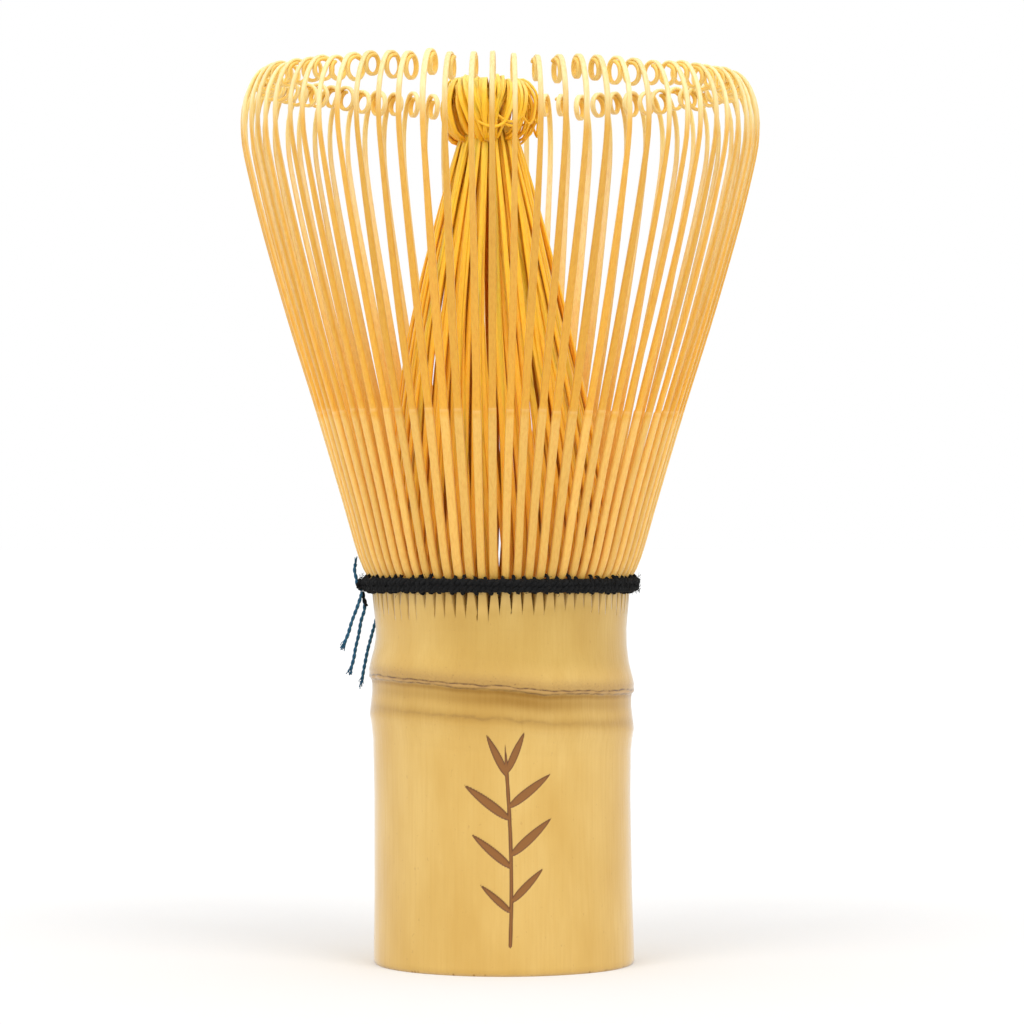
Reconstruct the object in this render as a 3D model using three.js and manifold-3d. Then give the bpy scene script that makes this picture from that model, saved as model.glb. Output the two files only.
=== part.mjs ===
// Bamboo tea whisk: a hollow culm handle whose upper end is split into an outer and an inner
// ring of tines, and one cotton thread laced round the roots of the outer ring.
// Millimetres, +Z up. The origin is the centre of the flat base.

import * as THREE from 'three';
import { mergeVertices } from 'three/addons/utils/BufferGeometryUtils.js';
import Module from 'manifold-3d';

const wasm = await Module();
wasm.setup();

// ---- driving dimensions ----------------------------------------------------------------

const CULM_RADIUS = 15.6;      // outside of the handle near its base
const WALL = 3;                // thickness of the culm's wall
const NODE_Z = 33.4;           // middle height of the raised scar round the culm
const NODE_TILT = -0.055;      // the scar falls towards +X by this much per millimetre
const SPLIT_Z = 40.9;          // below this the culm is whole
const THREAD_Z = 45.3;         // middle height of the laced thread
const RIM_RADIUS = 31.3;       // widest radius of the flared outer tines
const RIM_Z = 101.4;           // height of the widest radius
const CURL_RADIUS = 1.7;       // radius of a rolled tip
const SHOULDER_RADIUS = 6.9;   // radius where a tine bends in over the bowl of the whisk
const STAVES = 18;             // first splits of the culm, all round
const TINES_PER_STAVE = 4;     // tines cut from each stave, outside and again inside
const BUNDLE_RADIUS = 4.9;     // radius of the gathered inner tines at their top
const BUNDLE_TOP = 97.3;       // height where the inner tines turn into their curls
const BUNDLE_LEAN = -1.1;      // the gathered top sits off the axis by this much in X
const CLUSTER_RADIUS = 6.3;    // half width of the cluster of curled inner tips
const CLUSTER_TOP = 106.4;     // top of that cluster
const THREAD_DIAMETER = 0.95;
const GAP = 0.3;               // room left between separate pieces

const STAVE_ANGLE = 2 * Math.PI / STAVES;
const TINE_ANGLE = STAVE_ANGLE / TINES_PER_STAVE;
const degrees = THREE.MathUtils.degToRad;

// ---- materials -------------------------------------------------------------------------

const bambooSkin = new THREE.MeshStandardMaterial({ color: 0xdcbf74, roughness: 0.45, metalness: 0 });
const bambooTine = new THREE.MeshStandardMaterial({ color: 0xe8b75c, roughness: 0.5, metalness: 0 });
const bambooCore = new THREE.MeshStandardMaterial({ color: 0xd59a3c, roughness: 0.55, metalness: 0 });
const threadDark = new THREE.MeshStandardMaterial({ color: 0x14161f, roughness: 0.9, metalness: 0 });
const threadNavy = new THREE.MeshStandardMaterial({ color: 0x16304a, roughness: 0.9, metalness: 0 });

// ---- shape helpers ---------------------------------------------------------------------

// A closed solid from a geometry, with its shared vertices merged.
function toSolid(geometry) {
  const bare = geometry.clone();
  bare.deleteAttribute('normal');
  bare.deleteAttribute('uv');
  const merged = mergeVertices(bare);
  return new wasm.Manifold(new wasm.Mesh({
    numProp: 3,
    vertProperties: new Float32Array(merged.getAttribute('position').array),
    triVerts: new Uint32Array(merged.getIndex().array),
  }));
}

function toGeometry(solid) {
  const mesh = solid.getMesh();
  const geometry = new THREE.BufferGeometry();
  geometry.setAttribute('position', new THREE.BufferAttribute(mesh.vertProperties, 3));
  geometry.setIndex(new THREE.BufferAttribute(mesh.triVerts, 1));
  geometry.computeVertexNormals();
  return geometry;
}

function joined(geometries) {
  const solids = geometries.map(toSolid);
  const whole = solids.reduce((sum, solid) => sum.add(solid));
  return toGeometry(whole);
}

function named(name, geometry, material) {
  const mesh = new THREE.Mesh(geometry, material);
  mesh.name = name;
  return mesh;
}

function number(index) {
  return String(index + 1).padStart(2, '0');
}

// Moves every vertex of a geometry by a function that changes the vector it is given.
function moveVertices(geometry, change) {
  const position = geometry.getAttribute('position');
  const point = new THREE.Vector3();
  for (let i = 0; i < position.count; i += 1) {
    point.fromBufferAttribute(position, i);
    change(point);
    position.setXYZ(i, point.x, point.y, point.z);
  }
  return geometry;
}

// A flat strip in the XZ plane. Each station is {r, z, width, thickness}: its outer face runs
// through (r, z), and its thickness lies on the side towards the axis.
function bentStrip(stations) {
  const steps = stations.length - 1;
  const strip = new THREE.BoxGeometry(1, 1, 1, 1, 1, steps);
  return moveVertices(strip, (point) => {
    const i = Math.round((point.z + 0.5) * steps);
    const before = stations[Math.max(i - 1, 0)];
    const after = stations[Math.min(i + 1, steps)];
    const along = new THREE.Vector2(after.r - before.r, after.z - before.z).normalize();
    const depth = (point.y - 0.5) * stations[i].thickness;
    const side = -point.x * stations[i].width;
    point.set(stations[i].r + along.y * depth, side, stations[i].z - along.x * depth);
  });
}

// A bar that follows the ring, centred on +X.
function ringBar(innerRadius, outerRadius, low, high) {
  const half = STAVE_ANGLE / 2 - GAP / 2 / innerRadius;
  const outline = new THREE.Shape();
  outline.absarc(0, 0, outerRadius, -half, half, false);
  outline.absarc(0, 0, innerRadius, half, -half, true);
  const bar = new THREE.ExtrudeGeometry(outline, {
    depth: high - low, bevelEnabled: false, curveSegments: 2, steps: 1,
  });
  return bar.translate(0, 0, low);
}

// The strips of one stave side by side, joined at their foot by a bar.
function staveOfTines(stationsOf, bar) {
  const strips = [];
  for (let i = 0; i < TINES_PER_STAVE; i += 1) {
    const angle = (i - (TINES_PER_STAVE - 1) / 2) * TINE_ANGLE;
    strips.push(bentStrip(stationsOf(i)).rotateZ(angle));
  }
  return joined([bar, ...strips]);
}

// ---- handle ----------------------------------------------------------------------------

const BORE_RADIUS = CULM_RADIUS - WALL;
const WAIST_RADIUS = 14.9;     // the culm is narrowest just under the splits
const DIAPHRAGM = [30.6, 33.2];

function handle() {
  const profile = [
    [0, DIAPHRAGM[0]],
    [BORE_RADIUS - 2, DIAPHRAGM[0]],
    [BORE_RADIUS, DIAPHRAGM[0] - 2],
    [BORE_RADIUS, 0],
    [CULM_RADIUS - 0.25, 0],
    [CULM_RADIUS, 0.4],
    [CULM_RADIUS - 0.1, 14],
    [CULM_RADIUS - 0.15, 25],
    [CULM_RADIUS + 0.1, NODE_Z - 4.8],
    [CULM_RADIUS - 0.3, NODE_Z - 2.3],
    [CULM_RADIUS, NODE_Z - 0.7],
    [CULM_RADIUS + 0.3, NODE_Z],
    [CULM_RADIUS - 0.05, NODE_Z + 0.9],
    [CULM_RADIUS - 0.3, NODE_Z + 2.2],
    [WAIST_RADIUS, NODE_Z + 5],
    [WAIST_RADIUS + 0.15, SPLIT_Z],
    [BORE_RADIUS - 0.2, SPLIT_Z],
    [BORE_RADIUS - 0.2, DIAPHRAGM[1] + 2],
    [BORE_RADIUS - 2.5, DIAPHRAGM[1]],
    [0, DIAPHRAGM[1]],
  ];
  const turned = new THREE.LatheGeometry(profile.map(([r, z]) => new THREE.Vector2(r, z)), 40);
  turned.rotateX(Math.PI / 2);
  return moveVertices(turned, (point) => {
    const nearNode = THREE.MathUtils.smoothstep(point.z, 20, NODE_Z - 5)
      * (1 - THREE.MathUtils.smoothstep(point.z, NODE_Z + 2.5, SPLIT_Z));
    const onSkin = Math.hypot(point.x, point.y) > BORE_RADIUS + 1;
    point.z += onSkin ? nearNode * NODE_TILT * point.x : 0;
  });
}

// ---- outer tines -----------------------------------------------------------------------

const OUTER_ROOT_RADIUS = 15.3;
const OUTER_WIDTHS = [0.92, 0.62];       // at the root and at the rim
const OUTER_THICKNESSES = [0.75, 0.32];
const CURL_HEADINGS = [90, 122, 155, 205, 260, 315, 370];

function tapered(z, widths, thicknesses, low, high) {
  const along = THREE.MathUtils.clamp((z - low) / (high - low), 0, 1);
  return {
    width: THREE.MathUtils.lerp(widths[0], widths[1], along),
    thickness: THREE.MathUtils.lerp(thicknesses[0], thicknesses[1], along),
  };
}

// The rim and the rolled tip: the tine turns in on a wide radius, then rolls up on a tight one.
function rimAndCurl() {
  const points = [];
  let r = RIM_RADIUS;
  let z = RIM_Z;
  CURL_HEADINGS.forEach((heading, i) => {
    if (i > 0) {
      const turn = degrees(heading - CURL_HEADINGS[i - 1]);
      const middle = degrees((heading + CURL_HEADINGS[i - 1]) / 2);
      const radius = heading > 155 ? CURL_RADIUS : SHOULDER_RADIUS;
      const chord = 2 * radius * Math.sin(turn / 2);
      r += chord * Math.cos(middle);
      z += chord * Math.sin(middle);
    }
    points.push([r, z]);
  });
  return points;
}

function outerStations() {
  const outline = [
    [OUTER_ROOT_RADIUS - 0.05, SPLIT_Z + GAP + 0.4],
    [OUTER_ROOT_RADIUS + 0.1, THREAD_Z],
    [OUTER_ROOT_RADIUS + 1.6, THREAD_Z + 3.3],
    [RIM_RADIUS - 1.6, RIM_Z - 9.4],
    [RIM_RADIUS - 0.25, RIM_Z - 3.4],
    ...rimAndCurl(),
  ];
  return outline.map(([r, z]) => (
    { r, z, ...tapered(z, OUTER_WIDTHS, OUTER_THICKNESSES, THREAD_Z, RIM_Z) }));
}

const outerStave = staveOfTines(
  outerStations,
  ringBar(OUTER_ROOT_RADIUS - 1, OUTER_ROOT_RADIUS, SPLIT_Z + GAP, SPLIT_Z + GAP + 1.6),
);

// ---- inner tines -----------------------------------------------------------------------

const INNER_ROOT_RADIUS = 13.8;
const INNER_WIDTHS = [0.72, 0.36];
const INNER_THICKNESSES = [0.62, 0.3];
const INNER_LAYER = 1.2;       // every other tine is gathered this much nearer the axis

function innerStations(index) {
  const topRadius = BUNDLE_RADIUS - (index % 2) * INNER_LAYER;
  const outline = [
    [INNER_ROOT_RADIUS - 0.05, SPLIT_Z + GAP + 0.4],
    [INNER_ROOT_RADIUS - 0.15, THREAD_Z + 1.5],
    [THREE.MathUtils.lerp(INNER_ROOT_RADIUS, topRadius, 0.3), 66],
    [topRadius, BUNDLE_TOP],
  ];
  return outline.map(([r, z]) => (
    { r, z, ...tapered(z, INNER_WIDTHS, INNER_THICKNESSES, THREAD_Z, BUNDLE_TOP) }));
}

const innerStave = staveOfTines(
  innerStations,
  ringBar(BORE_RADIUS - 0.2, INNER_ROOT_RADIUS, SPLIT_Z + GAP, SPLIT_Z + GAP + 1.6),
);

// The inner tines lean together towards the off-centre top of their bundle.
function leanToBundle(geometry) {
  return moveVertices(geometry, (point) => {
    const rise = THREE.MathUtils.clamp((point.z - THREAD_Z) / (BUNDLE_TOP - THREAD_Z), 0, 1);
    point.x += BUNDLE_LEAN * rise;
  });
}

// ---- curled inner tips -----------------------------------------------------------------

function innerCurls() {
  const low = BUNDLE_TOP + GAP;
  const height = CLUSTER_TOP - low;
  const profile = [
    [0, low],
    [CLUSTER_RADIUS * 0.78, low],
    [CLUSTER_RADIUS * 0.97, low + height * 0.22],
    [CLUSTER_RADIUS, low + height * 0.48],
    [CLUSTER_RADIUS * 0.9, low + height * 0.76],
    [CLUSTER_RADIUS * 0.58, low + height * 0.95],
    [CLUSTER_RADIUS * 0.25, CLUSTER_TOP],
    [0, CLUSTER_TOP - 0.4],
  ];
  const turned = new THREE.LatheGeometry(profile.map(([r, z]) => new THREE.Vector2(r, z)), 24);
  turned.rotateX(Math.PI / 2);
  return turned.translate(BUNDLE_LEAN, 0, 0);
}

// ---- thread ----------------------------------------------------------------------------

function threadRound(radius, z, across, high) {
  const profile = [];
  const sides = 6;
  for (let i = 0; i <= sides; i += 1) {
    const angle = 2 * Math.PI * i / sides;
    profile.push(new THREE.Vector2(radius + across / 2 * Math.cos(angle), z + high / 2 * Math.sin(angle)));
  }
  return new THREE.LatheGeometry(profile, 40).rotateX(Math.PI / 2);
}

function threadPiece(points, diameter) {
  const route = new THREE.CatmullRomCurve3(points.map(([x, y, z]) => new THREE.Vector3(x, y, z)));
  const section = new THREE.Shape().absarc(0, 0, diameter / 2, 0, 2 * Math.PI, false);
  return new THREE.ExtrudeGeometry(section, {
    extrudePath: route, steps: 3 * (points.length - 1), curveSegments: 4, bevelEnabled: false,
  });
}

function threadKnot() {
  return new THREE.SphereGeometry(0.85, 10, 8).scale(0.8, 1.1, 1.15).translate(-17.75, -1.2, THREAD_Z);
}

// ---- the whisk -------------------------------------------------------------------------

const whisk = new THREE.Group();
whisk.add(named('handle', handle(), bambooSkin));

for (let i = 0; i < STAVES; i += 1) {
  const turn = i * STAVE_ANGLE;
  const outer = named(`outer_tines_${number(i)}`, outerStave, bambooTine);
  outer.rotation.z = turn;
  whisk.add(outer);
  const leaning = leanToBundle(innerStave.clone().rotateZ(turn));
  whisk.add(named(`inner_tines_${number(i)}`, leaning, bambooCore));
}

whisk.add(named('inner_tip_curls', innerCurls(), bambooCore));

const ROUND_STEP = 1.1;        // height from one round of thread to the next
const ROUND_RADIUS = 16.25;
const INSIDE_ROUND_RADIUS = 14.15;
whisk.add(named('thread_round_lower',
  threadRound(ROUND_RADIUS, THREAD_Z - ROUND_STEP / 2, THREAD_DIAMETER, THREAD_DIAMETER), threadDark));
whisk.add(named('thread_round_upper',
  threadRound(ROUND_RADIUS + 0.15, THREAD_Z + ROUND_STEP / 2, THREAD_DIAMETER, THREAD_DIAMETER), threadDark));
whisk.add(named('thread_round_inside',
  threadRound(INSIDE_ROUND_RADIUS, THREAD_Z, 0.4, 1.6), threadDark));
whisk.add(named('thread_knot', threadKnot(), threadDark));

const TAIL_DIAMETER = 0.7;
const tails = {
  thread_end_up: [[-17.5, -1.2, 46.6], [-17.6, -1.1, 47.2], [-17.3, -1.0, 48]],
  thread_tail_long: [[-17.4, -2.0, 44.0], [-17.0, -2.6, 41.5], [-17.3, -3.0, 38], [-18.1, -3.2, 34.2]],
  thread_tail_short: [[-18.1, -0.6, 44.0], [-18.2, -0.5, 42], [-18.8, -0.5, 39.8], [-19.0, -0.6, 37.6]],
  thread_tail_doubled: [[-16.9, 0.2, 43.6], [-16.5, 0.6, 40.5], [-16.4, 0.9, 37], [-16.6, 1.1, 33.6]],
};
for (const [name, points] of Object.entries(tails)) {
  whisk.add(named(name, threadPiece(points, TAIL_DIAMETER), threadNavy));
}

export default whisk;
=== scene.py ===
"""Bamboo tea whisk: the looks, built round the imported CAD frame.

Lengths inside the builders are in millimetres, and add_mesh() turns them into metres.
The whisk stands on z = 0, its axis is the Z axis, and its front faces -Y.
"""

import math

import bmesh
import bpy
import numpy as np
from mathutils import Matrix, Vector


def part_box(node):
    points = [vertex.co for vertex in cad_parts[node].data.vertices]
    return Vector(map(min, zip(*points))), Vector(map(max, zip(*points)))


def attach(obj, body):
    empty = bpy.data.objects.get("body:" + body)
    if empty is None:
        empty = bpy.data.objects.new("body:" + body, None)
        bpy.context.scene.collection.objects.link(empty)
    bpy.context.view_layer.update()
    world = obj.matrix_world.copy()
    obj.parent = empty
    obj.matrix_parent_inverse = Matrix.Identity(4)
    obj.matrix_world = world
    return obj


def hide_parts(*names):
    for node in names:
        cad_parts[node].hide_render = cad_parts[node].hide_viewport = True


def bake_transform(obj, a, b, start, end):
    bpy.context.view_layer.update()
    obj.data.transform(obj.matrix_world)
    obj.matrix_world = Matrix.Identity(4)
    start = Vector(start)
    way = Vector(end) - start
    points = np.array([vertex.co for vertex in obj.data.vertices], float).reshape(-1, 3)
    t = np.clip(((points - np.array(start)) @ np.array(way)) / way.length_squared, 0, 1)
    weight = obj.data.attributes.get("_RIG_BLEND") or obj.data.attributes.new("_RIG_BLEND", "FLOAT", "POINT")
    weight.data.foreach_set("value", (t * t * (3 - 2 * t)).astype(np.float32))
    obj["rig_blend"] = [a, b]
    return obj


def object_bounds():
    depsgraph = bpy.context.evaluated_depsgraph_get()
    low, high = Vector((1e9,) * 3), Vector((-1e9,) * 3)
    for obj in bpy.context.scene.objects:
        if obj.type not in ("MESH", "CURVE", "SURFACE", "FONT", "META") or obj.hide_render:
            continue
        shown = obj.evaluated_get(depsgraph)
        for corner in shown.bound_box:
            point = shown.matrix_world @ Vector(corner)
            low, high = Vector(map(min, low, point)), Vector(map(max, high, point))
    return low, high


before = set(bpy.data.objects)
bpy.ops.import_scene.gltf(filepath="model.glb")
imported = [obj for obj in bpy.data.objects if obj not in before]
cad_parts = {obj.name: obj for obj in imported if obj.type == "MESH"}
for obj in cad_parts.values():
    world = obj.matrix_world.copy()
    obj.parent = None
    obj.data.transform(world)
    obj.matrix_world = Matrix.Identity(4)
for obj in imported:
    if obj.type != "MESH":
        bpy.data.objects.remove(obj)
cad_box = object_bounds()
SEED = 31
random = np.random.default_rng(SEED)

MM = 0.001
ROOT = "whisk_body"
STAVES = sum(1 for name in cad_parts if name.startswith("outer_tines_"))
TINES_PER_STAVE = 4
TINES = STAVES * TINES_PER_STAVE
PITCH = 2 * math.pi / TINES    # angle from one tine to the next

RIM_RADIUS = cad_box[1].x / MM
WHISK_TOP = cad_box[1].z / MM
SPLIT_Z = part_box("handle")[1].z / MM
THREAD_Z = sum(corner.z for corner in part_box("thread_round_inside")) / 2 / MM
CLUSTER_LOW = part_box("inner_tip_curls")[0].z / MM
CLUSTER_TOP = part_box("inner_tip_curls")[1].z / MM
CLUSTER_X = sum(corner.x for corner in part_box("inner_tip_curls")) / 2 / MM
CLUSTER_RADIUS = (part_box("inner_tip_curls")[1].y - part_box("inner_tip_curls")[0].y) / 2 / MM

RIM_Z = WHISK_TOP - 6.4        # height of the widest part of the flare
RIM_TILT = 1.65                # how much lower the rim is at the front than at the back
STEP_Z = 66.0                  # above this the maker has thinned the tines
BEND_TOP = 64.0                # a flexed tine bends between the thread and this height
SCAR_Z = 33.5                  # mean height of the culm's raised scar
BORE_RADIUS = 12.6
ROOT_RADIUS = 15.0             # distance of the tine roots from the axis
FOOT_SHIFT = 0.5               # the culm's foot stands this far to the right of its top


# ---- mesh helpers --------------------------------------------------------------------------

def add_mesh(name, points, faces, material, attributes, slot, body=ROOT):
    """A smooth closed mesh from points in millimetres, with one float attribute per name."""
    mesh = bpy.data.meshes.new(name)
    mesh.from_pydata((np.asarray(points) * MM).tolist(), [], faces)
    for key, values in attributes.items():
        layer = mesh.attributes.new(key, "FLOAT", "POINT")
        layer.data.foreach_set("value", np.asarray(values, np.float32))
    work = bmesh.new()
    work.from_mesh(mesh)
    bmesh.ops.recalc_face_normals(work, faces=work.faces)
    work.to_mesh(mesh)
    work.free()
    mesh.shade_smooth()
    mesh.materials.append(material)
    piece = bpy.data.objects.new(name, mesh)
    bpy.context.scene.collection.objects.link(piece)
    if body:
        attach(piece, body)
    return piece


def unit(vectors):
    length = np.linalg.norm(vectors, axis=-1, keepdims=True)
    return vectors / np.maximum(length, 1e-9)


def smooth(values, low, high):
    t = np.clip((np.asarray(values, float) - low) / (high - low), 0, 1)
    return t * t * (3 - 2 * t)


def bell(values, centre, width):
    """1 at the centre, fading to nothing on both sides over about twice the width."""
    return np.exp(-(((values - centre) / width) ** 2))


def running_sum(steps):
    return np.concatenate([[0], np.cumsum(steps)])


def distances(path):
    """How far along a path each of its points lies."""
    return running_sum(np.linalg.norm(np.diff(path, axis=0), axis=1))


def out_and_side(angle):
    """The level directions away from the whisk's axis and round it, at an angle."""
    out = np.array([math.cos(angle), math.sin(angle), 0])
    side = np.array([-math.sin(angle), math.cos(angle), 0])
    return out, side


SPAN_STEPS = 24                # points on each span of a curve, before they are spaced evenly


def through(points, count):
    """Points evenly spaced along a Catmull-Rom curve through the given ones."""
    p = np.asarray(points, float)
    p = np.vstack([2 * p[0] - p[1], p, 2 * p[-1] - p[-2]])
    dense = []
    for a, b, c, d in zip(p, p[1:], p[2:], p[3:]):
        t = np.linspace(0, 1, SPAN_STEPS, endpoint=False)[:, None]
        dense.append(0.5 * (2 * b + (c - a) * t + (2 * a - 5 * b + 4 * c - d) * t**2
                            + (3 * b - a - 3 * c + d) * t**3))
    dense = np.vstack(dense + [p[-2][None]])
    run = distances(dense)
    even = np.linspace(0, run[-1], count)
    return np.stack([np.interp(even, run, dense[:, k]) for k in range(p.shape[1])], axis=1)


def directions(path, closed=False):
    """The direction of a path at each of its points."""
    step = np.roll(path, -1, 0) - np.roll(path, 1, 0) if closed else np.gradient(path, axis=0)
    return unit(step)


def rings_to_faces(rings, sides, start, closed):
    """Quads between neighbouring rings of points, with an n-gon on each open end."""
    faces = []
    for i in range(rings if closed else rings - 1):
        a = start + i * sides
        b = start + ((i + 1) % rings) * sides
        for k in range(sides):
            n = (k + 1) % sides
            faces.append((a + k, a + n, b + n, b + k))
    if not closed:
        faces.append(tuple(range(start, start + sides)))
        faces.append(tuple(range(start + (rings - 1) * sides, start + rings * sides)))
    return faces


class Solid:
    """Collects several swept bodies into one mesh, with their attributes."""

    def __init__(self, *names):
        self.points, self.faces, self.count = [], [], 0
        self.attributes = {name: [] for name in names}

    def add(self, rings, closed=False, **values):
        """rings is an array of (ring, side, xyz). A value is a number, or one number per ring,
        or one per ring and side."""
        number, sides, _ = rings.shape
        self.faces += rings_to_faces(number, sides, self.count, closed)
        self.points.append(rings.reshape(-1, 3))
        self.count += number * sides
        for name, store in self.attributes.items():
            value = np.asarray(values.get(name, 0.0), float)
            if value.ndim == 1:
                value = value[:, None]
            store.append(np.broadcast_to(value, (number, sides)).ravel())

    def build(self, name, material, **options):
        attributes = {key: np.concatenate(store) for key, store in self.attributes.items()}
        return add_mesh(name, np.vstack(self.points), self.faces, material, attributes, **options)


# The eight corners of a bevelled strip: its side, its depth, and the bevel added to each.
CORNERS = np.array([(-1, 0, 1, 0), (-1, 0, 0, 1), (-1, 1, 0, -1), (-1, 1, 1, 0),
                    (1, 1, -1, 0), (1, 1, 0, -1), (1, 0, 0, 1), (1, 0, -1, 0)], float)
INNER_FACE = CORNERS[:, 1]     # 1 at the corners of a strip's inner face, 0 at its outer ones
BEVEL = 0.24                   # as a share of the strip's smaller dimension


def strip_rings(path, outward, width, thickness):
    """Rings of a flat strip with bevelled corners. path runs along its outer face, and outward
    is that face's normal."""
    along = directions(path)
    outward = unit(outward - (outward * along).sum(1, keepdims=True) * along)
    side = np.cross(outward, along)
    width = np.broadcast_to(width, len(path))[:, None]
    thickness = np.broadcast_to(thickness, len(path))[:, None]
    bevel = BEVEL * np.minimum(width, thickness)
    across = CORNERS[:, 0] * width / 2 + CORNERS[:, 2] * bevel
    depth = CORNERS[:, 1] * thickness + CORNERS[:, 3] * bevel
    return path[:, None] + side[:, None] * across[..., None] - outward[:, None] * depth[..., None]


def round_rings(path, radius, sides, closed=False):
    """Rings of a round tube along a path, without any sudden turn of its section."""
    along = directions(path, closed)
    up = np.array([0, 0, 1.0]) if closed else unit(np.cross(along[0], [0.31, 0.55, 0.77]))
    normals = np.empty_like(path)
    for i, tangent in enumerate(along):
        up = unit(up - (up @ tangent) * tangent)
        normals[i] = up
        if closed:
            up = np.array([0, 0, 1.0])
    side = np.cross(along, normals)
    angle = np.linspace(0, 2 * math.pi, sides, endpoint=False)[None]
    radius = np.broadcast_to(radius, len(path))[:, None]
    return (path[:, None] + normals[:, None] * (radius * np.cos(angle))[..., None]
            + side[:, None] * (radius * np.sin(angle))[..., None])


# ---- materials -----------------------------------------------------------------------------

def srgb(red, green, blue):
    def linear(value):
        value /= 255
        return value / 12.92 if value <= 0.04045 else ((value + 0.055) / 1.055) ** 2.4
    return (linear(red), linear(green), linear(blue), 1.0)


class Shader:
    """A material whose nodes are made by short calls."""

    def __init__(self, name):
        self.material = bpy.data.materials.new(name)
        self.material.use_nodes = True
        self.tree = self.material.node_tree
        self.surface = self.tree.nodes["Principled BSDF"]

    def node(self, kind, output=0, inputs=None, **settings):
        made = self.tree.nodes.new("ShaderNode" + kind)
        for key, value in settings.items():
            setattr(made, key, value)
        for key, value in (inputs or {}).items():
            self.set(made.inputs[key], value)
        return made.outputs[output]

    def set(self, socket, value):
        if isinstance(value, bpy.types.NodeSocket):
            self.tree.links.new(value, socket)
        else:
            socket.default_value = value

    def attribute(self, name):
        return self.node("Attribute", "Fac", attribute_name=name)

    def position(self, scale):
        """Object coordinates in millimetres, stretched by scale."""
        place = self.node("TexCoord", "Object")
        return self.node("Mapping", 0, {"Vector": place, "Scale": [1000 * s for s in scale]})

    def noise(self, stretch, detail, roughness=0.5):
        place = self.position(stretch)
        return self.node("TexNoise", "Fac", {"Vector": place, "Scale": 1.0, "Detail": detail,
                                             "Roughness": roughness})

    def ramp(self, factor, stops):
        made = self.tree.nodes.new("ShaderNodeValToRGB")
        self.set(made.inputs["Fac"], factor)
        elements = made.color_ramp.elements
        while len(elements) < len(stops):
            elements.new(0.5)
        for element, (position, colour) in zip(elements, stops):
            element.position = position
            element.color = colour
        return made.outputs["Color"]

    def math(self, operation, a, b):
        return self.node("Math", 0, {0: a, 1: b}, operation=operation)

    def times(self, a, b):
        return self.math("MULTIPLY", a, b)

    def spread(self, value, low, high, to_low=0.0, to_high=1.0):
        return self.node("MapRange", 0, {"Value": value, "From Min": low, "From Max": high,
                                         "To Min": to_low, "To Max": to_high})

    def mix(self, factor, a, b, blend="MIX"):
        made = self.tree.nodes.new("ShaderNodeMix")
        made.data_type = "RGBA"
        made.blend_type = blend
        self.set(made.inputs["Factor"], factor)
        self.set(made.inputs[6], a)
        self.set(made.inputs[7], b)
        return made.outputs[2]

    def bump(self, height, distance, strength):
        return self.node("Bump", 0, {"Height": height, "Distance": distance * MM,
                                     "Strength": strength})

    def finish(self, colour, roughness, normal=None, **sockets):
        self.set(self.surface.inputs["Base Color"], colour)
        self.set(self.surface.inputs["Roughness"], roughness)
        if normal is not None:
            self.set(self.surface.inputs["Normal"], normal)
        for key, value in sockets.items():
            self.surface.inputs[key.replace("_", " ")].default_value = value
        return self.material


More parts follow.
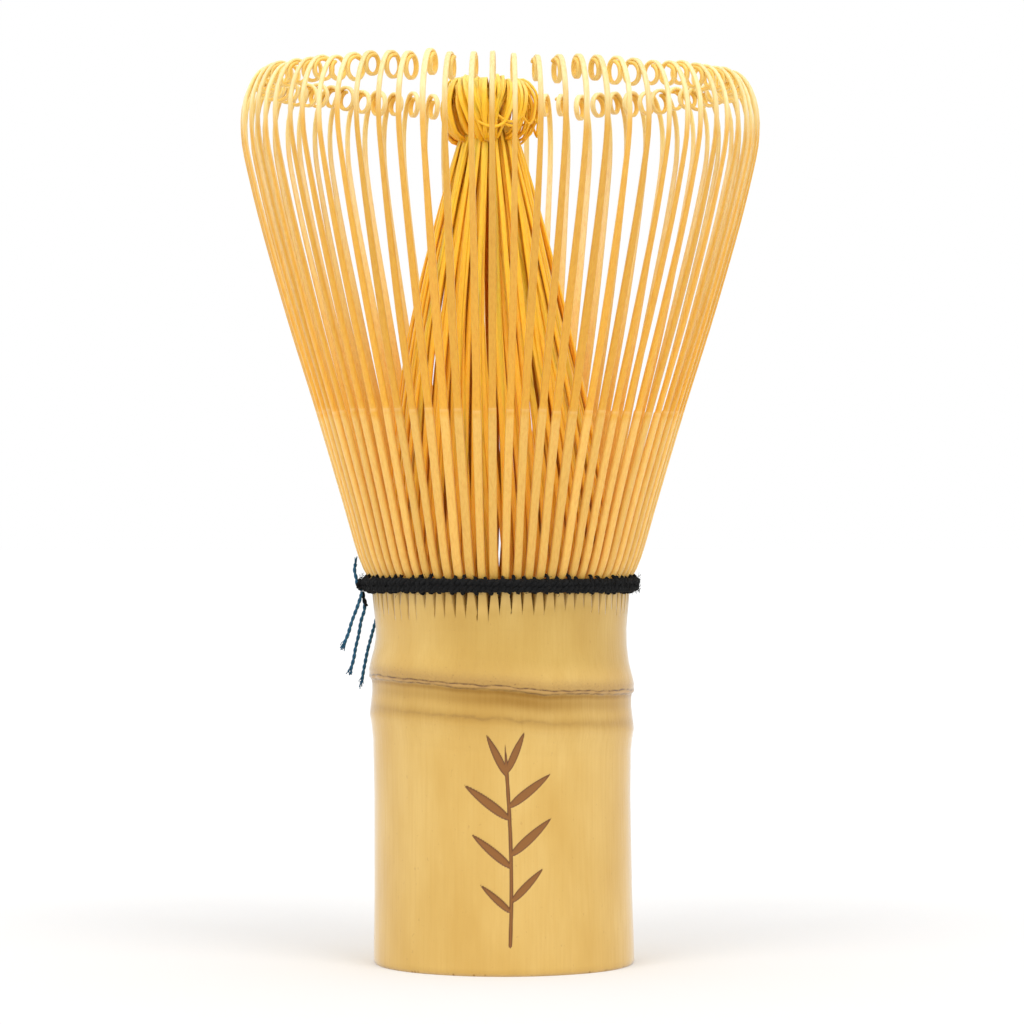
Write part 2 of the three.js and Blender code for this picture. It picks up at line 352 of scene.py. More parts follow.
def culm_material():
    """Straw yellow bamboo skin: fine upright fibres, cloudy tone, stain, dust and a dark line at the scar,
    a burnt mark, and pale dotted wood where the culm is cut. Painted shade darkens the culm under the
    lacing and in the slits, and painted shadow lies under the scar's ridges and round the foot."""
    s = Shader("culm_skin")
    fibres = s.noise((3.2, 3.2, 0.10), 4.0, 0.65)
    clouds = s.noise((0.16, 0.16, 0.07), 3.0)
    specks = s.noise((2.4, 2.4, 1.6), 2.0)
    grit = s.noise((3.6, 3.6, 4.4), 2.0)
    skin = s.ramp(clouds, [(0.34, srgb(209, 167, 82)), (0.52, srgb(215, 175, 92)),
                           (0.70, srgb(221, 183, 103))])
    skin = s.mix(s.spread(fibres, 0.42, 0.66, 0.0, 0.26), skin, srgb(203, 159, 76))
    skin = s.mix(s.spread(specks, 0.69, 0.76, 0.0, 0.30), skin, srgb(176, 130, 66))
    # painted shade: darkens the culm from the scar up to the lacing
    skin = s.mix(s.attribute("shade"), skin, srgb(238, 236, 220), "MULTIPLY")
    dusty = s.times(s.attribute("dust"), s.spread(grit, 0.30, 0.70, 0.7, 1.0))
    skin = s.mix(dusty, skin, srgb(166, 126, 66))
    gritty = s.times(s.attribute("dust"), s.spread(grit, 0.66, 0.74, 0.0, 0.7))
    skin = s.mix(gritty, skin, srgb(120, 82, 44))
    mottled = s.times(s.attribute("stain"), s.spread(fibres, 0.30, 0.62, 0.90, 1.0))
    skin = s.mix(mottled, skin, srgb(152, 106, 2))
    skin = s.mix(s.attribute("crest"), skin, srgb(190, 146, 82))
    broken = s.spread(s.noise((0.9, 0.9, 2.6), 4.0, 0.7), 0.36, 0.56, 0.25, 1.0)
    # a dark line above the scar, and painted shadow under the scar's ridges and round the foot
    skin = s.mix(s.times(s.attribute("soot_and_shadow"), broken), skin, srgb(92, 58, 26))
    # painted shade in the slits between the tines
    skin = s.mix(s.attribute("slit"), skin, srgb(140, 92, 40))
    mark = s.attribute("mark")
    skin = s.mix(s.spread(mark, 0.05, 0.45), skin, srgb(104, 58, 14))
    skin = s.mix(s.spread(mark, 0.6, 1.0, 0.0, 0.8), skin, srgb(148, 94, 30))
    pores = s.node("TexVoronoi", "Distance", {"Vector": s.position((1.7, 1.7, 0.12)), "Scale": 1.0})
    wood = s.mix(s.spread(pores, 0.16, 0.30), srgb(150, 100, 48), srgb(222, 186, 126))
    colour = s.mix(s.attribute("cut"), skin, wood)
    roughness = s.spread(fibres, 0.35, 0.7, 0.32, 0.46)
    roughness = s.math("ADD", roughness, s.times(s.attribute("cut"), 0.35))
    height = s.math("ADD", fibres, s.times(s.attribute("cut"), pores))
    return s.finish(colour, roughness, s.bump(height, 0.05, 0.5), Specular_IOR_Level=0.5,
                    Sheen_Weight=0.95, Sheen_Roughness=0.27)


def tine_material(name, skin_stops, flesh_stops, streak_colour, dullest, glow, glow_depth):
    """Split bamboo: the colour runs along the tine and differs on its inner face, each tine
    has its own tone, and its fibres show as fine streaks. Light soaks in to glow_depth, in
    millimetres."""
    s = Shader(name)
    streaks = s.noise((4.5, 4.5, 0.16), 3.0, 0.6)
    along = s.attribute("along")
    colour = s.mix(s.attribute("flesh"), s.ramp(along, skin_stops), s.ramp(along, flesh_stops))
    colour = s.mix(s.spread(streaks, 0.42, 0.7, 0.0, 0.34), colour, streak_colour, "MULTIPLY")
    colour = s.mix(s.attribute("step"), colour, srgb(252, 222, 164))
    tone = s.spread(s.attribute("tone"), 0.0, 1.0, dullest, 1.04)
    tint = s.node("CombineColor", 0, {0: tone, 1: tone, 2: s.math("POWER", tone, 1.6)})
    colour = s.mix(1.0, colour, tint, "MULTIPLY")
    roughness = s.spread(streaks, 0.3, 0.7, 0.40, 0.54)
    return s.finish(colour, roughness, s.bump(streaks, 0.03, 0.4),
                    Subsurface_Weight=glow, Subsurface_Radius=(0.7, 0.62, 0.45),
                    Subsurface_Scale=glow_depth * MM, Sheen_Weight=0.12, Sheen_Roughness=0.4)


def thread_material(name, dark, light, sheen):
    """Twisted cotton, with a painted highlight on the fibres along the crest of each ply."""
    s = Shader(name)
    fibres = s.noise((7.0, 7.0, 7.0), 3.0, 0.7)
    # painted highlight: lighter fibres on the crest of each ply
    crest_highlight = s.times(s.spread(fibres, 0.4, 0.75), s.attribute("crest"))
    colour = s.mix(crest_highlight, dark, light)
    return s.finish(colour, 0.95, s.bump(fibres, 0.06, 0.8), Sheen_Weight=sheen,
                    Specular_IOR_Level=0.08)


CULM = culm_material()
OUTER = tine_material(
    "outer_tine",
    skin_stops=[
        (0.00, srgb(238, 188, 90)), (0.285, srgb(244, 195, 96)), (0.30, srgb(240, 178, 48)),
        # painted highlight: the cream stops from 0.805 to 0.90 light the tops of the curls
        (0.55, srgb(233, 176, 60)), (0.75, srgb(234, 183, 78)), (0.805, srgb(253, 233, 176)),
        (0.90, srgb(253, 230, 166)), (1.00, srgb(250, 208, 102))],
    flesh_stops=[
        (0.00, srgb(240, 180, 82)), (0.30, srgb(252, 202, 90)), (0.50, srgb(253, 226, 150)),
        (0.72, srgb(252, 233, 184)), (0.80, srgb(252, 226, 150)), (0.90, srgb(250, 210, 104)),
        (1.00, srgb(248, 202, 88))],
    streak_colour=srgb(226, 196, 140), dullest=0.88, glow=0.4, glow_depth=0.8)
INNER = tine_material(
    "inner_tine",
    skin_stops=[
        (0.00, srgb(240, 172, 44)), (0.30, srgb(252, 190, 44)), (0.60, srgb(254, 194, 30)),
        (0.78, srgb(254, 196, 32)), (0.90, srgb(254, 206, 60)), (1.00, srgb(254, 200, 38))],
    flesh_stops=[
        (0.00, srgb(236, 166, 44)), (0.50, srgb(248, 178, 32)), (0.74, srgb(254, 190, 26)),
        # painted highlight: the cream stops at 0.835 and 0.88 light the top of the rosette
        (0.80, srgb(254, 202, 40)), (0.835, srgb(254, 234, 160)), (0.88, srgb(254, 226, 124)),
        (0.92, srgb(254, 198, 26)), (1.00, srgb(252, 188, 14))],
    streak_colour=srgb(236, 200, 134), dullest=0.94, glow=0.5, glow_depth=0.45)
THREAD = thread_material("thread_dark", dark=srgb(24, 24, 24), light=srgb(42, 42, 43), sheen=0.02)
TAIL = thread_material("thread_navy", dark=srgb(38, 82, 112), light=srgb(66, 122, 150), sheen=0.1)


# ---- handle --------------------------------------------------------------------------------

COLUMNS_PER_TINE = 12
SLIT_COLUMNS = 2               # mesh columns from the middle of a slit to its edge
SLIT_SHARE = 0.54              # share of the pitch that a slit takes up at the thread
SLIT_DEPTH = 1.7
CROWN_TOP = THREAD_Z - 0.3     # the culm ends here, inside the lacing
MARK_DEPTH = 0.13
MARK_EDGE = 0.14               # width over which the burnt mark fades out


def scar_lift(angle):
    """How far the scar lies above its mean height, round the culm."""
    x = np.cos(angle)
    dip = bell(x, 0.38, 0.24) * smooth(-np.sin(angle), 0.0, 0.4)
    wobble = 0.06 * np.sin(5 * angle + 1) + 0.035 * np.sin(11 * angle) + 0.02 * np.sin(27 * angle)
    return -0.92 * x - 0.34 * dip + wobble


def culm_radius(level):
    """Outside radius at a height, with the scar taken as level."""
    profile = np.array([                 # height, radius
        (0.0, 15.45), (0.35, 15.62), (3.0, 15.58), (8.0, 15.44), (20.0, 15.33), (26.0, 15.42),
        (27.6, 15.58), (28.9, 15.80), (29.6, 15.74), (30.4, 15.64), (31.6, 15.50), (32.6, 15.50),
        (33.1, 15.58), (33.28, 15.72), (33.5, 15.88), (33.66, 15.85), (33.76, 15.83),
        (34.3, 15.85), (34.9, 15.74), (35.7, 15.54), (36.8, 15.26), (38.4, 15.04), (40.0, 15.02),
        (41.5, 15.14), (43.0, 15.3), (45.6, 15.5)])
    return np.interp(level, profile[:, 0], profile[:, 1])


def leaf_mark(x, z):
    """A plain sprig burnt into the skin: one stalk with narrow leaves on both sides."""
    def stalk(height):
        return 0.6 + 0.4 * np.sin(height / 7.5)

    thick = 0.24 * smooth(z, 3.2, 3.6) * np.clip((27.4 - z) / 3.0, 0, 1)
    amount = np.clip((thick - np.abs(x - stalk(z))) / MARK_EDGE, 0, 1)
    # each leaf: height of its foot on the stalk, slope in degrees, length
    leaves = [(23.6, 66, 5.2), (23.2, 116, 5.4), (19.6, 38, 6.2), (18.2, 143, 6.6),
              (14.0, 42, 6.4), (12.6, 140, 6.0), (8.6, 46, 5.4), (7.4, 138, 4.8)]
    for base, slope, length in leaves:
        heading = math.radians(slope)
        dx, dz = x - stalk(base), z - base
        share = (dx * math.cos(heading) + dz * math.sin(heading)) / length
        across = dz * math.cos(heading) - dx * math.sin(heading)
        inner = np.clip(share, 0, 1)
        half = 1.15 * np.sqrt(inner) * (1 - inner) ** 0.8 * length / 5.6 - 0.05
        leaf = np.clip(0.5 + (half - np.abs(across)) / MARK_EDGE, 0, 1)
        leaf *= (share > 0) * (share < 1)
        amount = np.maximum(amount, leaf)
    return amount


def level_ring(radius, height, columns):
    angle = np.arange(columns) * 2 * math.pi / columns
    return np.stack([radius * np.cos(angle), radius * np.sin(angle), 0 * angle + height], -1)


def culm_levels():
    """Heights of the mesh rows up the outside of the culm, closest together at the scar."""
    return np.concatenate([
        [0.0, 0.12, 0.35, 0.9, 2.0, 3.0], np.arange(3.2, 27.4, 0.16),
        np.arange(27.4, 32.6, 0.16), np.arange(32.6, 34.3, 0.06), np.arange(34.3, 36.6, 0.16),
        np.arange(36.6, SPLIT_Z - 2, 0.45), np.arange(SPLIT_Z - 2, CROWN_TOP, 0.16), [CROWN_TOP]])


def open_slits(columns, z):
    """The slits between the tines, narrow at the bottom and wide at the thread. Gives how far
    round the culm each mesh point moves to make room, how open its slit is, and how deep in
    the slit it lies, from 0 to 1."""
    owner = np.arange(columns) // COLUMNS_PER_TINE
    place = np.arange(columns) % COLUMNS_PER_TINE
    place = np.where(place > COLUMNS_PER_TINE / 2, place - COLUMNS_PER_TINE, place)[None]
    bottom = (SPLIT_Z + 1.1 + random.uniform(-1.0, 1.0, TINES))[owner][None]
    lean = (0.09 * PITCH * random.uniform(-1, 1, TINES))[owner][None]
    share = (SLIT_SHARE * random.uniform(0.7, 1.2, TINES))[owner][None]
    opening = np.clip((z - bottom) / (THREAD_Z - bottom), 0, 1)
    half_pitch = COLUMNS_PER_TINE / 2
    gathered = smooth(z, bottom - 0.6, bottom)
    edge = SLIT_COLUMNS + gathered * (share * half_pitch * opening + 0.15 - SLIT_COLUMNS)
    away = np.abs(place)
    stretch = (half_pitch - edge) / (half_pitch - SLIT_COLUMNS)
    moved = np.where(away <= SLIT_COLUMNS, away * edge / SLIT_COLUMNS,
                     edge + (away - SLIT_COLUMNS) * stretch)
    shift = (np.sign(place) * moved - place) * 2 * math.pi / columns + lean * opening
    in_slit = (away < SLIT_COLUMNS) * smooth(opening, 0.0, 0.3)
    return shift, opening, in_slit


def skin_tones(level, z, turn, opening):
    """Where the culm's skin is stained, dusty or dark-lined at the scar, and where painted shade
    falls from the scar up to the lacing (less on the slit fingers and the left side) and painted
    shadow lies under the scar's ridges and round the foot.
    """
    ragged = 0.05 * np.sin(13 * turn + 3 * np.sin(4 * turn)) + 0.03 * np.sin(47 * turn)

    def band(centre, width, wander=0.0):
        return bell(level + wander * ragged, centre, width)

    x = np.cos(turn)
    front = 0.5 + 0.5 * bell(x, 0.12, 0.5)
    patchy = 0.75 + 0.25 * np.sin(4 * turn + 2) * np.sin(9 * turn)
    # a dark line just above the scar's ridge, and painted shadow just under it
    soot_and_shadow = band(SCAR_Z + 0.22, 0.10, 1.0) + 0.95 * band(SCAR_Z - 0.22, 0.10, -1.0) * patchy
    # painted shade: a soft brown line under the lower ridge of the node
    soot_and_shadow += 0.42 * band(29.9, 0.2, 2.0) * patchy * bell(x, -0.1, 0.62)
    # painted contact shadow round the foot
    soot_and_shadow += 0.45 * bell(z, 0.0, 0.22)
    # painted shade from the scar up to the lacing, left off the slit fingers, which are cut thinner and
    # paler
    shade = smooth(z, SCAR_Z, 36.5) * (1 - smooth(opening, 0.0, 0.4))
    # less painted shade on the left side, which stays paler
    shade *= 1 - 0.9 * smooth(-x, 0.1, 0.9)
    stain = 0.9 * band(32.1, 1.2) * front + 0.5 * band(33.0, 0.3) + 0.5 * band(29.8, 0.85)
    crest = 0.9 * band(SCAR_Z, 0.11)
    dust = 0.7 * band(34.0, 0.95) * (level > SCAR_Z)
    return {"shade": shade, "stain": stain, "soot_and_shadow": soot_and_shadow, "crest": crest, "dust": dust}


def build_handle():
    """One closed mesh: from under the node wall down the bore, round the cut foot, up the
    outside, and over the crown down to the node wall."""
    columns = TINES * COLUMNS_PER_TINE
    angle = np.arange(columns)[None] * 2 * math.pi / columns
    level = np.repeat(culm_levels()[:, None], columns, 1)
    near_scar = smooth(level, 18, 29) * (1 - smooth(level, 35.5, 41))
    z = level + near_scar * scar_lift(angle)
    radius = culm_radius(level)
    radius += 0.05 * np.sin(3 * angle + 0.04 * z) + 0.03 * np.sin(7 * angle - 0.11 * z)
    radius += 0.04 * bell(level, SCAR_Z, 0.25) * np.sin(23 * angle + 2 * np.sin(9 * angle))

    shift, opening, in_slit = open_slits(columns, z)
    turn = angle + shift
    mark = leaf_mark(np.cos(turn) * radius, z) * (np.sin(turn) < -0.3)
    skin_radius = radius - SLIT_DEPTH * in_slit - MARK_DEPTH * mark
    outer = np.stack([skin_radius * np.cos(turn), skin_radius * np.sin(turn), z], -1)

    # radius and height, from the crown down to the node wall, and from there down the bore
    inside_top = [(13.9, CROWN_TOP), (12.7, CROWN_TOP - 0.3), (12.45, 40), (12.4, 36),
                  (11.6, 34.4), (9.5, 33.5), (5.0, 33.1), (0.4, 33.0)]
    inside_low = [(0.4, 30.7), (6.0, 30.6), (10.4, 30.1), (12.1, 28.7), (12.55, 26),
                  (BORE_RADIUS, 12), (BORE_RADIUS, 0.5), (BORE_RADIUS + 0.12, 0.0), (14.0, 0.0)]
    low = np.array([level_ring(r, height, columns) for r, height in inside_low])
    high = np.array([level_ring(r, height, columns) for r, height in inside_top])
    rings = np.concatenate([low, outer, high])
    rings[..., 0] += FOOT_SHIFT * (1 - rings[..., 2] / THREAD_Z)

    def padded(values, before=0.0, after=0.0):
        """Values for the outside, with one value for all of the inside below and above."""
        return np.concatenate([0 * low[..., 0] + before, values, 0 * high[..., 0] + after])

    cut = np.zeros_like(z)
    cut[:2] = 0.6                        # the edge of the sawn foot
    tones = {name: padded(values) for name, values in skin_tones(level, z, turn, opening).items()}
    solid = Solid("shade", "stain", "soot_and_shadow", "crest", "dust", "slit", "mark", "cut")
    # painted shade in the slits; the 0.35 on the crown's inside is hidden under the cut-wood colour
    solid.add(rings, slit=padded(0.95 * in_slit, 0.0, 0.35), mark=padded(mark),
              cut=padded(cut, 1.0, 1.0), **tones)
    piece = solid.build("culm_handle", CULM, slot="culm_skin")
    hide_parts("handle")


# ---- outer tines ---------------------------------------------------------------------------

HEAD_TWIST = 0.6               # how far round the rim the tines lean, all the same way


def tine_profile(step_z):
    """Radius and height along the outer face of an outer tine, up to its widest part, with
    close points where the maker began to thin it."""
    curve = through([
        (15.05, CROWN_TOP - 0.6), (15.5, THREAD_Z + 0.2), (16.9, 48.4), (19.0, 55.6),
        (22.2, STEP_Z + 0.4), (25.5, 77.0), (28.65, 88.0), (30.4, 95.0),
        (RIM_RADIUS - 0.15, RIM_Z - 2.6), (RIM_RADIUS, RIM_Z)], 200)
    close = step_z + np.array([-0.45, -0.12, 0.0, 0.12, 0.45])
    heights = np.union1d(np.linspace(curve[0, 1], RIM_Z, 42), close)
    return np.stack([np.interp(heights, curve[:, 1], curve[:, 0]), heights], -1)


CURL_STEPS = 56


def curl(radius, turns):
    """The way a tip bends on from heading straight up: slowly inward, sharply over the
    shoulder, then round a tight roll. Gives distances inward and up, and the heading, from
    the widest point."""
    heading = np.linspace(math.pi / 2, math.radians(150) + turns * 2 * math.pi, CURL_STEPS)
    bend = np.interp(heading, np.radians([90, 110, 134, 158]), [11.0, 9.0, 2.7, radius])
    bend = bend * (1 - 0.22 * smooth(heading, math.radians(300), heading[-1]))
    step = np.diff(heading)
    middle = (heading[1:] + heading[:-1]) / 2
    length = (bend[1:] + bend[:-1]) / 2 * step
    inward = running_sum(-length * np.cos(middle))
    up = running_sum(length * np.sin(middle))
    return inward, up, heading


def tine_number(stave, tine):
    """Counts the tines round the whisk. A stave's own angle runs through its middle."""
    return stave * TINES_PER_STAVE + tine - TINES_PER_STAVE // 2


def rim_top(centre):
    """Height of the top of the rim: lower at the front and on the right."""
    front = (1 - math.sin(centre)) / 2
    right = (1 + math.cos(centre)) / 2
    low = RIM_TILT * front ** 2 + 0.5 * right ** 2
    low -= 0.5 * bell(centre, 4.25, 0.35)     # the front left stands up a little
    return WHISK_TOP - 0.15 - low


def screwed(inward, turn, angle, play):
    """A curl also turns sideways, towards the front or the back of the whisk, whichever is
    nearer. Splits its distance inward into a part inward and a part sideways, and gives its
    yaw."""
    way = 1 if math.cos(angle) * math.sin(angle) > 0 else -1
    way *= smooth(abs(math.cos(angle)), 0.0, 0.25)     # none at the very front and back
    yaw_end = way * (0.12 + play * np.clip(random.normal(0, 0.12), -0.1, 0.1))
    yaw = yaw_end * smooth(turn, 0.5, 2.2)
    middle = (yaw[1:] + yaw[:-1]) / 2
    run_in = running_sum(np.diff(inward) * np.cos(middle))
    run_side = running_sum(np.diff(inward) * np.sin(middle))
    run_side += 0.5 * way * smooth(turn, 3.0, 8.0)
    return run_in, run_side, yaw


def outer_path(centre, at_edge, step_z):
    """The middle of an outer tine's outer face from root to tip, the normal of that face, and
    the height each point has on the plain flare."""
    flare = tine_profile(step_z)
    rise = smooth(flare[:, 1], THREAD_Z + 1, RIM_Z)
    inward, up, heading = curl(random.uniform(1.42, 1.68), random.uniform(0.95, 1.2))
    top = rim_top(centre) - random.uniform(0, 0.35)
    drop = RIM_Z + up.max() - top
    radius = flare[:, 0] - np.abs(random.normal(0, 0.14)) * rise
    height = flare[:, 1] - rise * drop
    play = 0.5 if at_edge else 1.0       # the edge tines keep clear of the next stave's
    drift = (HEAD_TWIST + play * np.clip(random.normal(0, 0.24), -0.3, 0.3)) * rise
    drift += random.normal(0, 0.14) * np.sin(math.pi * rise)
    angle = centre + drift / radius
    run_in, run_side, yaw = screwed(inward, heading - math.pi / 2, angle[-1], play)

    out, side = out_and_side(angle[-1])
    lower = np.stack([radius * np.cos(angle), radius * np.sin(angle), height], -1)
    upper = out * (radius[-1] - run_in)[:, None] + side * run_side[:, None]
    upper[:, 2] = height[-1] + up
    path = np.vstack([lower, upper[1:]])

    out_low = np.stack([np.cos(angle), np.sin(angle), np.full(len(angle), -0.28)], -1)
    flat = out * np.cos(yaw)[:, None] - side * np.sin(yaw)[:, None]
    out_high = flat * np.sin(heading)[:, None]
    out_high[:, 2] = -np.cos(heading)
    outward = np.vstack([out_low, out_high[1:]])
    flare_z = np.concatenate([flare[:, 1], np.full(len(heading) - 1, RIM_Z)])
    return path, outward, flare_z


def outer_tine(solid, stave, tine):
    step_z = STEP_Z + random.normal(0, 0.12)
    centre = (tine_number(stave, tine) + 0.5) * PITCH
    at_edge = tine in (0, TINES_PER_STAVE - 1)
    path, outward, flare_z = outer_path(centre, at_edge, step_z)
    run = distances(path)
    along = run / run[-1]
    thinned = smooth(flare_z, step_z - 0.12, step_z + 0.12)
    wave = 1 + 0.03 * np.sin(along * random.uniform(9, 16) + random.uniform(0, 6))
    width = (0.96 + 0.05 * smooth(along, 0.02, 0.25) - 0.1 * thinned
             - 0.3 * smooth(along, 0.45, 0.78)) * wave * random.uniform(0.92, 1.08)
    thickness = (0.74 - 0.16 * smooth(along, 0.05, 0.3) - 0.09 * thinned
                 - 0.1 * smooth(along, 0.45, 0.9))
    rings = strip_rings(path, outward, width, thickness)
    step = bell(flare_z, step_z - 0.05, 0.12)[:, None] * (1 - INNER_FACE)
    in_curl = smooth(along, 0.74, 0.80)[:, None]
    flesh = INNER_FACE * (0.75 + 0.25 * in_curl)
    solid.add(rings, along=along, tone=random.uniform(0, 1), flesh=flesh, step=0.3 * step)


def build_outer_tines():
    for stave in range(STAVES):
        solid = Solid("along", "tone", "flesh", "step")
        for tine in range(TINES_PER_STAVE):
            outer_tine(solid, stave, tine)
        name = f"{stave + 1:02d}"
        piece = solid.build(f"outer_stave_tines_{name}", OUTER, body=None, slot="outer_tine")
        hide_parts(f"outer_tines_{name}")
        out, _ = out_and_side(2 * math.pi * stave / STAVES)
        low = (ROOT_RADIUS * MM * out[0], ROOT_RADIUS * MM * out[1], THREAD_Z * MM)
        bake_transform(piece, ROOT, f"outer_stave_{name}", start=low, end=(low[0], low[1], BEND_TOP * MM))


# ---- inner tines ---------------------------------------------------------------------------

WHOLE_RUN = 74.0               # length of an inner tine with its tip
STRANDS = 2                    # fine strands that an inner tine is split into
LAYERS = 3                     # layers of tips in the rosette, the innermost first
INNER_RADIUS = 13.7            # distance of the inner roots from the axis
HOOK_CHANCE = 0.55             # share of the outermost tips on the right that hook sideways
ROSETTE_X = CLUSTER_X - 0.3    # the rosette leans a little to the left


def carried(path, normal):
    """The normal of a strip that follows a path without twisting, from its first normal on."""
    along = directions(path)
    normals = np.empty_like(path)
    for i, tangent in enumerate(along):
        normal = unit(normal - (normal @ tangent) * tangent)
        normals[i] = normal
    return normals


def rosette_roll(angle, layer):
    """Points of a tip that goes up through the middle of the rosette, over its top and down
    its outside, turning towards the front or the back on the way."""
    # each knot: radius, height, and the share of the swirl that it has turned by
    leftness = 0.5 - 0.5 * math.cos(angle)
    swirl = (0.40 + 0.22 * leftness) * math.sin(2 * angle) + random.normal(0, 0.13)
    depth = (1.1, 0.25, 0.0)[layer]
    reach = CLUSTER_RADIUS - 0.4 - 0.5 * leftness - depth + random.uniform(-0.22, 0.12)
    top = CLUSTER_TOP - 0.55 - depth - random.uniform(0, 0.6)
    foot = CLUSTER_LOW + 0.6 + random.uniform(0, 0.9)
    middle = (top + foot) / 2
    knots = [(2.7 - 0.5 * layer, CLUSTER_LOW + 3.0, 0.0), (2.6 - 0.4 * layer, top - 2.2, 0.05),
             (3.3 - 0.2 * layer, top - 0.35, 0.12), (4.3, top, 0.22),
             (reach - 0.5, top - 1.2, 0.36), (reach, middle + 0.6, 0.55),
             (reach - 0.1, middle - 1.0, 0.72), (reach - 0.7, foot + 0.5, 0.9),
             (reach - 1.7, foot - 0.1, 1.05)]
    if layer == LAYERS - 1 and leftness < 0.3 and random.random() < HOOK_CHANCE:
        hook = foot + random.uniform(0.3, 1.9)
        knots[-2:] = [(reach - 0.3, hook + 0.4, 0.9), (reach - 0.3, hook, 1.3),
                      (reach - 0.5, hook + 0.6, 1.8), (reach - 0.9, hook + 1.7, 2.2)]
    return [(r * math.cos(angle + swirl * share) + ROSETTE_X,
             r * math.sin(angle + swirl * share), z) for r, z, share in knots]


def inner_strand(solid, angle, layer, tone):
    """One of the two fine strands of an inner tine, from the thread up into the rosette."""
    neck = (3.9, 3.2, 2.5)[layer] + random.uniform(-0.2, 0.2)
    t = np.linspace(0, 1, 8)
    root = INNER_RADIUS - 0.2 * layer
    radius = root + (neck - root) * t ** 1.65
    radius += random.normal(0, 0.2) * np.sin(math.pi * t)
    radius += random.normal(0, 0.1) * np.sin(2 * math.pi * t)
    turn = angle + random.normal(0, 0.12) * t + random.normal(0, 0.025) * np.sin(math.pi * t)
    low, high = THREAD_Z - 1.2, CLUSTER_LOW
    stem = np.stack([radius * np.cos(turn) + ROSETTE_X * smooth(t, 0, 0.7), radius * np.sin(turn),
                     low + (high - low) * t], -1)
    path = through(np.vstack([stem, rosette_roll(turn[-1], layer)]), 110)
    run = distances(path)
    along = 1 - (run[-1] - run) / WHOLE_RUN
    stem_width = (0.66 - 0.14 * smooth(along, 0.45, 0.76)) * random.uniform(0.88, 1.15)
    tip_width = (0.4 if math.cos(turn[-1]) > -0.1 else 0.64) - 0.1 * smooth(along, 0.9, 1.0)
    width = stem_width + (tip_width - stem_width) * smooth(along, 0.72, 0.8)
    thickness = 0.42 - 0.12 * smooth(along, 0.1, 0.7) - 0.06 * smooth(along, 0.74, 0.84)
    outward = np.array([math.cos(angle), math.sin(angle), 0.2])
    rings = strip_rings(path, carried(path, outward), width, thickness)
    flesh = np.broadcast_to(INNER_FACE, (len(path), len(INNER_FACE)))
    solid.add(rings, along=along, tone=tone, flesh=flesh)


def inner_tine(solid, index):
    tone = random.uniform(0, 1)
    for strand in range(STRANDS):
        angle = (index + (strand + 0.5) / STRANDS) * PITCH + random.normal(0, 0.008)
        inner_strand(solid, angle, (STRANDS * index + strand) % LAYERS, tone)


def build_inner_tines():
    for stave in range(STAVES):
        solid = Solid("along", "tone", "flesh", "step")
        for tine in range(TINES_PER_STAVE):
            inner_tine(solid, tine_number(stave, tine))
        name = f"{stave + 1:02d}"
        piece = solid.build(f"inner_stave_tines_{name}", INNER, slot="inner_tine")
        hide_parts(f"inner_tines_{name}", "inner_tip_curls")


# ---- thread --------------------------------------------------------------------------------

PLIES = 2
ROUND_STEPS = 900              # points round the whisk on one round of thread
LACING_RADIUS = 15.85          # of the middle of the lacing


def yarn(solid, path, radius, pitch, closed=False, sides=6):
    """Plies twisted round one another along a path, one turn in each pitch."""
    step = np.roll(path, -1, 0) - path if closed else np.diff(path, axis=0)
    length = np.linalg.norm(step, axis=1)
    run = running_sum(length)[:len(path)]
    turns = round(length.sum() / pitch) if closed else length.sum() / pitch
    along = directions(path, closed)
    level = np.array([0, 0, 1.0]) + 0 * path
    across = unit(np.cross(along, np.where(np.abs(along[:, 2:]) > 0.9, [1.0, 0, 0], level)))
    up = np.cross(across, along)
    offset = radius * 0.42
    for ply in range(PLIES):
        angle = 2 * math.pi * (turns * run / length.sum() + ply / PLIES)
        centre = path + offset * (np.cos(angle)[:, None] * across + np.sin(angle)[:, None] * up)
        rings = round_rings(centre, radius * 0.62, sides, closed)
        # crest: how far out from the yarn's middle a point lies; it sets the painted highlight on the ply
        # crests
        crest = np.clip(np.linalg.norm(rings - path[:, None], axis=-1) / radius, 0, 1)
        solid.add(rings, closed, crest=crest)


def round_path(radius, z, phase):
    """One round of thread, weaving in and out between the tines and up and down."""
    angle = np.linspace(0, 2 * math.pi, ROUND_STEPS, endpoint=False)
    r = radius + 0.06 * np.cos(TINES / 2 * angle + phase) + 0.05 * np.sin(5 * angle + phase)
    height = z + 0.04 * np.cos(TINES * angle + 2 * phase) + 0.06 * np.sin(3 * angle + phase)
    return np.stack([r * np.cos(angle), r * np.sin(angle), height], -1)


def lacing_core(solid):
    """The solid middle of the lacing: turn on turn of thread pulled tight."""
    steps = TINES * 8
    angle = np.linspace(0, 2 * math.pi, steps, endpoint=False)[:, None]
    sides = np.linspace(0, 2 * math.pi, 10, endpoint=False)[None]
    bulge = 1 + 0.05 * np.cos(TINES * angle + 0.8 * np.sin(3 * angle))
    r = LACING_RADIUS + 0.64 * bulge * np.cos(sides) + 0.04 * np.sin(31 * angle)
    z = THREAD_Z + 0.78 * bulge * np.sin(sides) + 0.05 * np.sin(4 * angle)
    # a faint painted highlight on the core
    solid.add(np.stack([r * np.cos(angle), r * np.sin(angle), z], -1), closed=True, crest=0.2)


